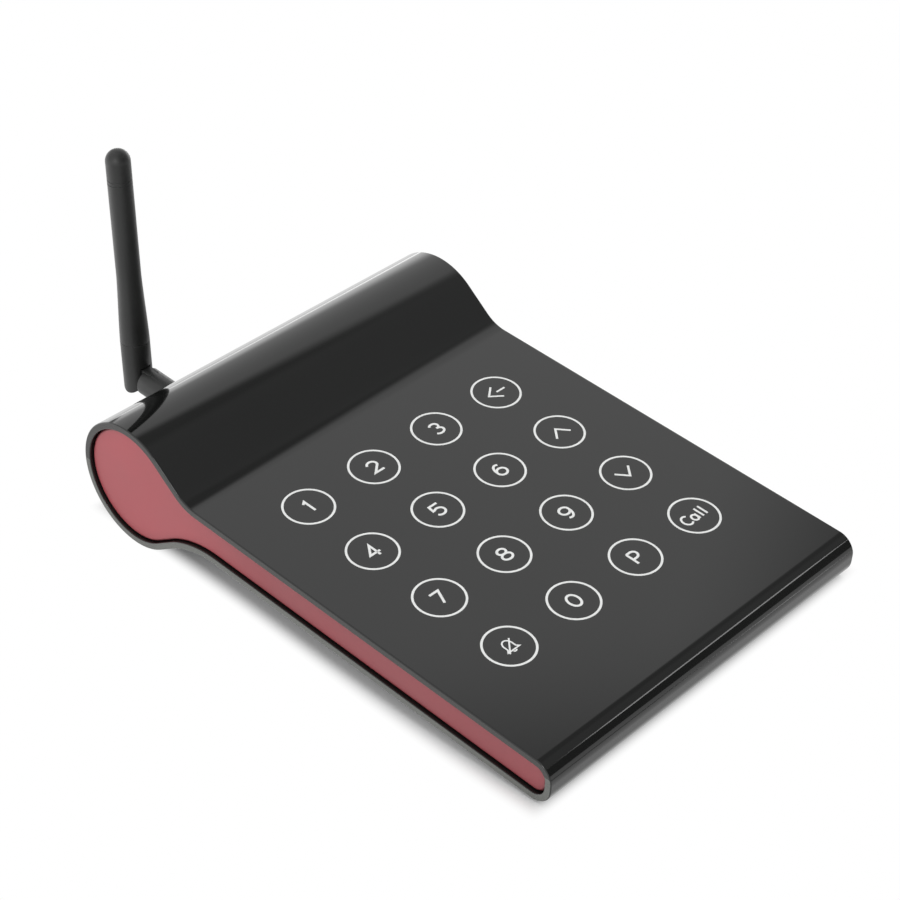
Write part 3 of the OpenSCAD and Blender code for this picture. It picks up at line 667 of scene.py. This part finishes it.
jack_spot = rear_hole(ANTENNA_X, -ROLL_DROP, REAR_Y - SPOT_DEPTH, SPOT_R)
jack_hole = rear_hole(ANTENNA_X, -ROLL_DROP, REAR_Y - JACK_HOLE_IN, JACK_HOLE_R)
inlet_hole = rear_hole(INLET_X, INLET_Z, INLET_FACE_Y, INLET_WAY_R)
make_shell("upper_case", True, "case_gloss", "upper_shell", RIM_UPPER,
           [jack_spot, jack_hole, inlet_hole])
# The lower shell's rim carries the painted reflection of the floor
make_shell("lower_case", False, "case_lower", "lower_shell", RIM_LOWER_PAINTED_REFLECTION,
           [jack_spot, jack_hole])


# ---------------------------------------------------------------- end panels

PANEL_GAP = 0.12
PANEL_EDGE = 0.9
PANEL_STEPS = 6


def end_panel(name, side, node):
    """A red end panel: a plate in the rim's outline with its outer edge rounded."""
    face = CASE_W / 2 - PANEL_RECESS
    sections = [(face - PANEL_T, 0.0)]
    for k in range(PANEL_STEPS + 1):
        angle = QUARTER * k / PANEL_STEPS
        sections.append((face - PANEL_EDGE + PANEL_EDGE * math.sin(angle),
                         PANEL_EDGE * (1 - math.cos(angle))))
    bm = bmesh.new()
    rings = []
    for x, step in sections:
        inset = RIM_W + PANEL_GAP + step
        low = half_profile(inset, False, 0.0)[1:-1]
        outline = half_profile(inset, True, 0.0) + low[::-1]
        rings.append([bm.verts.new((side * x, p.x, p.y)) for p, _ in outline])
    for a, b in zip(rings, rings[1:]):
        for k in range(len(a)):
            n = (k + 1) % len(a)
            bm.faces.new((a[k], a[n], b[n], b[k])).smooth = True
    bm.faces.new(rings[0])
    bm.faces.new(rings[-1])
    return add_object(name, closed_mesh(name, bm, STAND), "end_panel", "case", replaced=(node,))


end_panel("red_panel_left", -1, "left_end_panel")
end_panel("red_panel_right", 1, "right_end_panel")


# ---------------------------------------------------------------- printed keys

INK_T = 0.03
# Each further stroke of a glyph stands this much higher, so no two tops share a plane
INK_STEP = 0.002
RING_R = 7.485
RING_W = 0.68
# Half the height of a figure, and the width of its strokes
GLYPH_H = 2.4
GLYPH_W = 0.76
GLYPH_WIDTHS = {"silent": 0.46, "back": 0.64, "up": 0.7, "down": 0.7, "Call": 0.66}
# Where a stroke turns sharply its edges are drawn out by 1 over this at most
MITRE_LEAST = 0.35
KEY_ROWS = (("1", "2", "3", "back"), ("4", "5", "6", "up"),
            ("7", "8", "9", "down"), ("silent", "0", "P", "Call"))


def stroke_outline(points, width, closed):
    """Left and right edges of a stroke along 2-D points, with mitred corners."""
    left, right = [], []
    count = len(points)
    for k, p in enumerate(points):
        runs = []
        if closed or k > 0:
            runs.append((p - points[k - 1]).normalized())
        if closed or k < count - 1:
            runs.append((points[(k + 1) % count] - p).normalized())
        tangent, stretch = runs[0], 1
        if len(runs) == 2:
            tangent = (runs[0] + runs[1]).normalized()
            stretch = 1 / max(MITRE_LEAST, math.sqrt((1 + runs[0].dot(runs[1])) / 2))
        side = Vector((-tangent.y, tangent.x)) * width / 2 * stretch
        left.append(p + side)
        right.append(p - side)
    return left, right


def add_stroke(bm, points, width, closed, top):
    """A flat printed stroke with a little thickness."""
    rings = []
    for a, b in zip(*stroke_outline(points, width, closed)):
        rings.append([bm.verts.new((a.x, a.y, 0)), bm.verts.new((b.x, b.y, 0)),
                      bm.verts.new((b.x, b.y, top)), bm.verts.new((a.x, a.y, top))])
    count = len(rings)
    for k in range(count if closed else count - 1):
        a, b = rings[k], rings[(k + 1) % count]
        for j in range(4):
            bm.faces.new((a[j], a[(j + 1) % 4], b[(j + 1) % 4], b[j]))
    if not closed:
        bm.faces.new(rings[0][::-1])
        bm.faces.new(rings[-1])


def curve(center, radii, start, end, steps):
    """Points on an ellipse arc, angles in degrees, counter-clockwise when end > start."""
    rows = []
    for k in range(steps + 1):
        angle = math.radians(start + (end - start) * k / steps)
        rows.append(Vector((center[0] + radii[0] * math.cos(angle),
                            center[1] + radii[1] * math.sin(angle))))
    return rows


def line(*points):
    """The corners of a straight-sided stroke."""
    return [Vector(p) for p in points]


def oval(center, radii, steps):
    """A whole ellipse as a closed stroke."""
    return curve(center, radii, 0, 360, steps)[:-1], True


def figures():
    """Plain single-line glyphs: strokes of (points, closed) about the key's middle."""
    bar = GLYPH_H - 0.05
    six = [oval((0.0, -0.85), (1.7, 1.52), 28),
           (line((-1.67, -0.65)) + curve((0.15, -0.3), (1.82, 2.68), 172, 62, 10), False)]
    wing, rise = 3.0, 1.75
    cap = 1.85
    stem = cap + 0.25
    return {
        "1": [(line((-0.65, 1.55), (0.4, GLYPH_H), (0.4, -GLYPH_H)), False)],
        "2": [(curve((0.15, 0.95), (1.65, 1.42), 165, -28, 14)
               + line((-1.5, -bar), (1.95, -bar)), False)],
        "3": [(curve((0.1, 1.18), (1.5, 1.22), 150, -82, 14), False),
              (curve((0.1, -1.12), (1.7, 1.28), 88, -152, 16), False)],
        "4": [(line((0.75, -GLYPH_H), (0.75, GLYPH_H), (-1.85, -1.0), (1.85, -1.0)), False)],
        "5": [(line((1.75, bar), (-1.35, bar), (-1.6, 0.25))
               + curve((0.02, -0.88), (1.75, 1.5), 128, -150, 18), False)],
        "6": six,
        "7": [(line((-1.65, bar), (1.65, bar), (-0.45, -GLYPH_H)), False)],
        "8": [oval((0, 1.22), (1.45, 1.15), 26), oval((0, -1.15), (1.75, 1.27), 28)],
        "9": [([-p for p in points], closed) for points, closed in six],
        "0": [oval((0, 0), (1.8, GLYPH_H), 32)],
        "P": [(line((-1.35, -GLYPH_H), (-1.35, bar)), False),
              (line((-1.35, bar), (0.1, bar)) + curve((0.1, 1.0), (1.5, 1.35), 84, -84, 12)
               + line((0.1, -0.35), (-1.35, -0.35)), False)],
        "up": [(line((-wing, -rise), (0, rise), (wing, -rise)), False)],
        "down": [(line((-wing, rise), (0, -rise), (wing, rise)), False)],
        "back": [(line((0.55, 2.85), (-3.1, 0.0), (0.55, -2.85)), False),
                 (line((0.25, 0.0), (3.7, 0.0)), False)],
        # A bell, its clapper and the stroke through them
        "silent": [(line((-2.2, -1.7), (-1.5, -0.9)) + curve((0, 0.45), (1.5, 1.85), 180, 0, 14)
                    + line((1.5, -0.9), (2.2, -1.7)), True),
                   (curve((0, -1.9), (0.6, 0.55), 195, 345, 6), False),
                   (line((-2.1, -2.3), (2.1, 2.2)), False)],
        "Call": [(curve((-3.35, 0), (1.55, cap), 48, 312, 20), False),
                 oval((-0.55, -0.62), (1.0, 1.2), 22),
                 (line((0.5, 0.55), (0.5, -cap)), False),
                 (line((2.05, stem), (2.05, -cap)), False),
                 (line((3.7, stem), (3.7, -cap)), False)],
    }


def printed_keys():
    """The rings and glyphs of all keys, each key's print one piece."""
    glyphs = figures()
    middle = (KEY_COUNT - 1) / 2
    for row, names in enumerate(KEY_ROWS):
        for column, name in enumerate(names):
            bm = bmesh.new()
            ring, closed = oval((0, 0), (RING_R, RING_R), 96)
            add_stroke(bm, ring, RING_W, closed, INK_T)
            for depth, (points, closed) in enumerate(glyphs[name]):
                add_stroke(bm, points, GLYPH_WIDTHS.get(name, GLYPH_W), closed,
                           INK_T + INK_STEP * depth)
            place = Matrix.Translation(((column - middle) * KEY_PITCH,
                                        (middle - row) * KEY_PITCH, 0))
            mesh = closed_mesh("key_%d_%d" % (row, column), bm, STAND @ place)
            add_object("key_print_%d_%d" % (row, column), mesh, "case_gloss", "case", INK)


printed_keys()


# ---------------------------------------------------------------- antenna

# Depth of the ring grooves, which is also the length of each of their three steps
GROOVE = 0.12
RING_BELOW_CAP = 1.46
# Length of the two steps of the groove at the cap's seam
CAP_GROOVE = 0.14
# The sleeve's rounded lower edge: in from its surface and up from the seam
SLEEVE_EDGE = ((0.12, 0.0), (0.03, 0.08), (0.0, 0.25))
TAPER_STEPS = 12
TAPER_EASE = 0.35
TIP_STEPS = 18
TURNED_SEGMENTS = 96
PIN_SEGMENTS = 48
# Edges sharper than an angle are bevelled; points this close are welded first
EDGE_BEVEL = 0.25
EDGE_ANGLE = math.radians(40)
FLAT_ANGLE = math.radians(0.5)
WELD = 0.0005
# How far the spigot and the tongue reach into the solid that they stand on
SPIGOT_ROOT = 2.0
TONGUE_ROOT = 3.0
# How far the tongue's pin hole is cut past its sides
PIN_PAST = 1.3


def lathe(name, outline, replaced):
    """A turned piece of the blade: outline is (radius, height) from one end to the other.

    It is closed on itself unless it starts and ends on the axis.
    """
    bm = bmesh.new()
    rings = []
    for radius, height in outline:
        if radius < 1e-6:
            rings.append([bm.verts.new((0, 0, height))])
        else:
            turns = [2 * math.pi * k / TURNED_SEGMENTS for k in range(TURNED_SEGMENTS)]
            rings.append([bm.verts.new((radius * math.cos(a), radius * math.sin(a), height))
                          for a in turns])
    count = len(rings)
    on_axis = len(rings[0]) == 1 and len(rings[-1]) == 1
    for j in range(count - 1 if on_axis else count):
        a, b = rings[j], rings[(j + 1) % count]
        for k in range(TURNED_SEGMENTS):
            n = (k + 1) % TURNED_SEGMENTS
            corners = (a[k % len(a)], a[n % len(a)], b[n % len(b)], b[k % len(b)])
            quad = list(dict.fromkeys(corners))
            if len(quad) > 2:
                bm.faces.new(quad)
    mesh = closed_mesh(name, bm, HINGE)
    smooth(mesh)
    return add_object(name, mesh, "antenna_plastic", "blade", replaced=(replaced,))


def tip_outline():
    """The round-ended tip cap, with the plug that holds it in the sleeve."""
    plug_end = CAP_START - CAP_PLUG_L
    dome = curve((0.0, BLADE_L - BLADE_R), (BLADE_R, BLADE_R), 0, 90, TIP_STEPS)
    return ([(0.0, plug_end), (CAP_PLUG_R, plug_end), (CAP_PLUG_R, CAP_START),
             (BLADE_R - GROOVE, CAP_START), (BLADE_R, CAP_START + GROOVE)]
            + dome[:-1] + [(0.0, BLADE_L)])


def blade_outline():
    """The tapered sleeve, with a ring groove near its top and another at the cap's seam."""
    rows = [(SLEEVE_BORE_R, FORK_L)]
    rows += [(FORK_R - inset, FORK_L + height) for inset, height in SLEEVE_EDGE]
    taper_start = rows[-1][1]
    for k in range(1, TAPER_STEPS + 1):
        t = k / TAPER_STEPS
        ease = t * t * (3 - 2 * t) * TAPER_EASE + t * (1 - TAPER_EASE)
        rows.append((FORK_R + (BLADE_R - FORK_R) * ease,
                     taper_start + (TAPER_END - taper_start) * t))
    ring = CAP_START - RING_BELOW_CAP
    floor_r = BLADE_R - GROOVE
    return rows + [
        (BLADE_R, ring), (floor_r, ring + GROOVE),
        (floor_r, ring + 2 * GROOVE), (BLADE_R, ring + 3 * GROOVE),
        (BLADE_R, CAP_START - 2 * CAP_GROOVE), (floor_r, CAP_START - CAP_GROOVE),
        (floor_r, CAP_START), (SLEEVE_BORE_R, CAP_START)]


def bevelled(name, start, steps, matrix, body, replaced):
    """An antenna piece of combined solids, with its sharp edges rounded."""
    mesh = combine(name, solid(start), steps)
    bm = bmesh.new()
    bm.from_mesh(mesh)
    bmesh.ops.remove_doubles(bm, verts=bm.verts, dist=WELD)
    bmesh.ops.dissolve_limit(bm, angle_limit=FLAT_ANGLE, verts=bm.verts, edges=bm.edges)
    sharp = [e for e in bm.edges
             if len(e.link_faces) == 2 and e.calc_face_angle(0) > EDGE_ANGLE]
    bmesh.ops.bevel(bm, geom=sharp, offset=EDGE_BEVEL, offset_type="OFFSET", segments=3,
                    profile=0.5, affect="EDGES", clamp_overlap=True)
    bm.transform(matrix)
    bm.to_mesh(mesh)
    bm.free()
    smooth(mesh)
    return add_object(name, mesh, "antenna_plastic", body, replaced=(replaced,))


def crosswise(bm, width, height, radius, segments=96):
    """A rod across the antenna, at a height along it."""
    rod(bm, (-width / 2, 0, height), (width / 2, 0, height), radius, segments)


def fork_end(bm):
    """What the fork's rounded ears lie within, as a side view drawn out across."""
    steps = 48
    side, top, far = FORK_R + 0.5, FORK_L + CUT, 10.0
    round_end = [(FORK_R * math.cos(a), FORK_R * math.sin(a))
                 for a in (math.pi + math.pi * k / steps for k in range(steps + 1))]
    rows = [(-side, top), (-side, 0)] + round_end + [(side, 0), (side, top)]
    low = [bm.verts.new((-far, y, z)) for y, z in rows]
    high = [bm.verts.new((far, y, z)) for y, z in rows]
    bm.faces.new(low)
    bm.faces.new(high[::-1])
    for k in range(len(rows)):
        n = (k + 1) % len(rows)
        bm.faces.new((low[k], low[n], high[n], high[k]))


def antenna_ears():
    """The blade's fork: two round ears about the slot, and the sleeve's spigot."""
    past = 12.0
    bevelled("antenna_ears", lambda bm: rod(bm, (0, 0, -FORK_R - CUT), (0, 0, FORK_L), FORK_R), [
        ("INTERSECT", fork_end),
        ("UNION", lambda bm: rod(bm, (0, 0, FORK_L - SPIGOT_ROOT), (0, 0, FORK_L + SPIGOT_L),
                                 SPIGOT_R)),
        ("DIFFERENCE", lambda bm: brick(bm, (-SLOT_W / 2, -past, -past),
                                        (SLOT_W / 2, past, SLOT_TOP))),
        ("DIFFERENCE", lambda bm: crosswise(bm, SLOT_W + 2 * PIN_DEPTH, 0, PIN_R, PIN_SEGMENTS)),
    ], HINGE, "blade", "antenna_fork")


def antenna_stub():
    """The base: a skirt over the screw-on nut, and the tongue that the pin goes through."""
    bevelled("antenna_stub", lambda bm: rod(bm, (0, 0, SKIRT_START), (0, 0, SHOULDER), BASE_R), [
        ("UNION", lambda bm: brick(bm, (-TONGUE_W / 2, -TONGUE_R, SHOULDER - TONGUE_ROOT),
                                   (TONGUE_W / 2, TONGUE_R, HINGE_OUT))),
        ("UNION", lambda bm: crosswise(bm, TONGUE_W, HINGE_OUT, TONGUE_R)),
        ("DIFFERENCE", lambda bm: rod(bm, (0, 0, 0), (0, 0, SKIRT_BORE_END), SKIRT_BORE_R)),
        ("DIFFERENCE", lambda bm: crosswise(bm, TONGUE_W + 2 * PIN_PAST, HINGE_OUT,
                                            PIN_R + RUN_GAP, PIN_SEGMENTS)),
    ], JACK, "swivel", "antenna_base")


lathe("antenna_tip", tip_outline(), "antenna_cap")
lathe("antenna_blade", blade_outline(), "antenna_sleeve")
antenna_ears()
antenna_stub()


# ---------------------------------------------------------------- room, in metres

# The side wall to the right of the object, and the corner where it meets the rear wall
WALL_X = 0.34
WALL_START = -0.05
WALL_END = 0.80
WALL_H = 1.2
WALL_LEVEL = 0.84
WALL_CORNER = math.degrees(math.atan2(WALL_X, WALL_END))
CORNER_BLUR = 1.0
# Azimuths are in degrees clockwise from the rear, heights are sines of the elevation.
# Four numbers go to fade(): low, high, start level, end level.
LEFT_WALL_ENDS = (-165, -145)
WALL_BY_HEIGHT = (0.25, 0.10, 1.1, 1.8)
FRONT_RIGHT = (85, 110)
FRONT_BY_HEIGHT = (0.50, 0.64, 0.14, 0.43)
CEILING_BY_HEIGHT = (0.90, 0.97, 0.0, 1.0)
ROOM_LEVEL = 0.30
AMBIENT = 0.62


def build_world():
    """White to the camera; in gloss, white walls behind and a dim room in front."""
    world = bpy.data.worlds.new("studio")
    scene.world = world
    world.use_nodes = True
    world.node_tree.nodes.clear()
    net = Net(world.node_tree)
    direction = net.split(net.add("TexCoord").outputs["Generated"])
    height = direction["Z"]
    azimuth = net.calc("ARCTAN2", direction["X"], direction["Y"])

    def between(start, end):
        return net.fade(azimuth, math.radians(start), math.radians(end))

    # White behind and to the left; the side wall on the right is a card of its own
    wall = net.calc("MULTIPLY", between(WALL_CORNER + CORNER_BLUR, WALL_CORNER - CORNER_BLUR),
                    between(*LEFT_WALL_ENDS))
    wall = net.calc("MULTIPLY", wall, net.fade(height, *WALL_BY_HEIGHT))
    front = net.calc("ADD", net.fade(height, *FRONT_BY_HEIGHT), -ROOM_LEVEL)
    room = net.calc("ADD", net.calc("MULTIPLY", between(*FRONT_RIGHT), front), ROOM_LEVEL)
    level = net.calc("MAXIMUM", net.calc("MAXIMUM", wall, room),
                     net.fade(height, *CEILING_BY_HEIGHT))

    path = net.add("LightPath").outputs
    white_color = (1.0, 1.0, 1.0, 1.0)
    mirrored = net.add("Background", {"Color": level}).outputs[0]
    ambient = net.add("Background", {"Color": white_color, "Strength": AMBIENT}).outputs[0]
    white = net.add("Background", {"Color": white_color}).outputs[0]
    shader = net.mix(path["Is Glossy Ray"], ambient, mirrored)
    shader = net.mix(path["Is Transmission Ray"], shader, white)
    shader = net.mix(path["Is Camera Ray"], shader, white)
    net.add("OutputWorld", {"Surface": shader})


build_world()

FLOOR_HALF = 3.0
# The floor turns white between these distances outside the case's outline, which is
# drawn in by SHADOW_FRONT at the nose and narrower towards the rear, where light
# reaches in under the slab: by SHADOW_UNDER over the first SHADOW_RUN
SHADOW_START = -0.0005
SHADOW_END = 0.0062
SHADOW_FRONT = 0.0052
SHADOW_RUN = 0.16
SHADOW_UNDER = 0.0075
SHADOW_CORNER = 0.004
# Extra white that gloss mirrors from the floor behind the object
BEHIND_BY_Y = (0.10, 0.25, 0.0, 0.8)


def stood_y(y, z):
    """How far to the rear a point of the side view stands, in metres."""
    return (tipped(y, z)[0] + stand_shift) / 1000


def build_floor():
    """White floor: it keeps the shadow close to the object and is plain white beyond."""
    corners = ((-1, -1), (1, -1), (1, 1), (-1, 1))
    mesh = bpy.data.meshes.new("floor")
    mesh.from_pydata([(x * FLOOR_HALF, y * FLOOR_HALF, 0) for x, y in corners],
                     [], [(0, 1, 2, 3)])
    floor = bpy.data.objects.new("floor", mesh)
    scene.collection.objects.link(floor)
    mat, net, shader = new_material("floor_white")
    net.put(shader.inputs["Base Color"], net.ramp(net.noise(3.0), 0.88, 0.90))
    shader.inputs["Roughness"].default_value = 0.9
    shader.inputs["Specular IOR Level"].default_value = 0.1

    place = net.split(net.add("TexCoord").outputs["Object"])
    front = stood_y(NOSE_Y, -SLAB_T) + SHADOW_FRONT
    rear = stood_y(REAR_Y, -ROLL_DROP)
    beside = net.calc("SUBTRACT", net.calc("ABSOLUTE", place["X"]), CASE_W / 2000)
    beside = net.calc("ADD", beside,
                      net.fade(place["Y"], front, front + SHADOW_RUN, 0.0, SHADOW_UNDER))
    along = net.calc("SUBTRACT", place["Y"], (front + rear) / 2)
    along = net.calc("SUBTRACT", net.calc("ABSOLUTE", along), (rear - front) / 2)
    outside = net.calc("SMOOTH_MAX", beside, along, SHADOW_CORNER)

    path = net.add("LightPath").outputs
    direct = net.calc("MAXIMUM", path["Is Camera Ray"],
                      net.calc("MAXIMUM", path["Is Glossy Ray"], path["Is Transmission Ray"]))
    seen = net.calc("MULTIPLY", net.fade(outside, SHADOW_START, SHADOW_END), direct)
    behind = net.calc("MULTIPLY", path["Is Glossy Ray"], net.fade(place["Y"], *BEHIND_BY_Y))
    glow = net.add("Emission", {"Strength": net.calc("ADD", 1.0, behind)})
    net.put(net.nodes["Material Output"].inputs["Surface"],
            net.mix(seen, shader.outputs[0], glow.outputs[0]))
    mesh.materials.append(mat)


build_floor()


# ---------------------------------------------------------------- lights, in metres

def add_light(name, size, power):
    """A rectangular area light, not yet in its place."""
    data = bpy.data.lights.new(name, "AREA")
    data.shape = "RECTANGLE"
    data.size, data.size_y = size
    data.energy = power
    obj = bpy.data.objects.new(name, data)
    scene.collection.objects.link(obj)
    return obj


def soft_box(name, location, target, side, power):
    """A square light aimed at a point."""
    obj = add_light(name, (side, side), power)
    obj.location = location
    obj.rotation_euler = (Vector(target) - Vector(location)).to_track_quat("-Z", "Y").to_euler()
    return obj


def gloss_card(name, centre, across, up, size, level, edges=()):
    """A bright card that only gloss mirrors.

    Each edge (u, v, low, high, start, end) fades the level from start to end as
    u * place across + v * place up, both 0 to 1 over the card, goes from low to high.
    """
    across = Vector(across).normalized()
    facing = across.cross(Vector(up)).normalized()
    up = facing.cross(across)
    obj = add_light(name, size, level * math.pi * size[0] * size[1])
    obj.matrix_world = Matrix.Translation(centre) @ Matrix(
        (across, up, facing)).transposed().to_4x4()
    obj.visible_diffuse = False
    obj.visible_camera = False
    if edges:
        obj.data.use_nodes = True
        net = Net(obj.data.node_tree)
        place = net.split(net.add("NewGeometry").outputs["Parametric"])
        strength = 1.0
        for u, v, *fading in edges:
            along = net.calc("ADD", net.calc("MULTIPLY", place["X"], u),
                             net.calc("MULTIPLY", place["Y"], v))
            strength = net.calc("MULTIPLY", strength, net.fade(along, *fading))
        net.put(net.nodes["Emission"].inputs["Strength"], strength)


top_box = soft_box("top_box", (0.25, 0.35, 1.5), (0, 0, 0.03), side=1.6, power=11.0)
top_box.visible_glossy = False
soft_box("left_box", (-1.06, -0.39, 0.64), (0, 0, 0.02), side=0.35, power=3.0)
# The side wall darkens towards its front and along a slanting top, and is brightest low down
wall_length = WALL_END - WALL_START
gloss_card("side_wall", (WALL_X, (WALL_START + WALL_END) / 2, WALL_H / 2), (0, 1, 0), (0, 0, 1),
           (wall_length, WALL_H), WALL_LEVEL,
           [(wall_length, 0.0, 0.02, 0.16, 0.0, 1.0),
            (-wall_length, WALL_H, 0.47, 0.25, 0.0, 1.0),
            (0.0, WALL_H, 0.26, 0.12, 1.0, 2.2)])
# A strip that only the nose mirrors, as its long bright line
gloss_card("strip_light", (1.496, -1.47, 1.362), (0.70, 0.71, 0.0), (-0.39, 0.38, 0.84),
           (0.46, 0.16), 5.0)


# ---------------------------------------------------------------- camera

# Solved from the grid of sixteen rings: place in metres, turn in degrees, focal length
CAMERA_AT = Vector((-0.386040, -0.390836, 0.423159))
CAMERA_TURN = (54.3635, 1.1575, -46.0107)
CAMERA_LENS = 93.167


def build_camera():
    """The photo's own view."""
    data = bpy.data.cameras.new("camera")
    data.sensor_width = 36.0
    data.lens = CAMERA_LENS
    camera = bpy.data.objects.new("camera", data)
    scene.collection.objects.link(camera)
    turn = Euler([math.radians(angle) for angle in CAMERA_TURN])
    camera.matrix_world = Matrix.LocRotScale(CAMERA_AT, turn, None)
    scene.camera = camera


build_camera()
